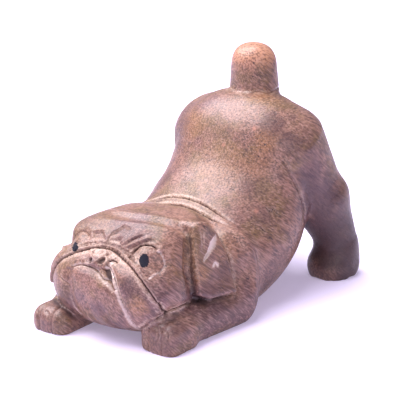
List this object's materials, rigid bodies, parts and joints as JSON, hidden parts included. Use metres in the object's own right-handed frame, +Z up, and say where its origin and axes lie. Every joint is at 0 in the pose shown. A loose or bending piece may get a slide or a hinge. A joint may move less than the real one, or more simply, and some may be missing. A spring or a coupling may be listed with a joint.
{
  "type": "carved wooden dog figurine",
  "caption": "Hand-carved solid wood bulldog figurine in a play bow, rump and stub tail up, wrinkled face and painted eyes, standing on its forelegs, chest and hind feet.",
  "frame": {"origin": "middle of the bounding box, on the ground under the chest", "axes": "+Z up, -Y the way the dog faces, +X to the dog's left"},
  "size_m": [0.0684, 0.1098, 0.0805],
  "materials": {
    "wood": "hand-rubbed satin pinkish-brown hardwood with dark pores, paler knife cuts and dark painted pupils"
  },
  "bodies": {
    "root": {"dog": "wood"}
  },
  "joints": []
}
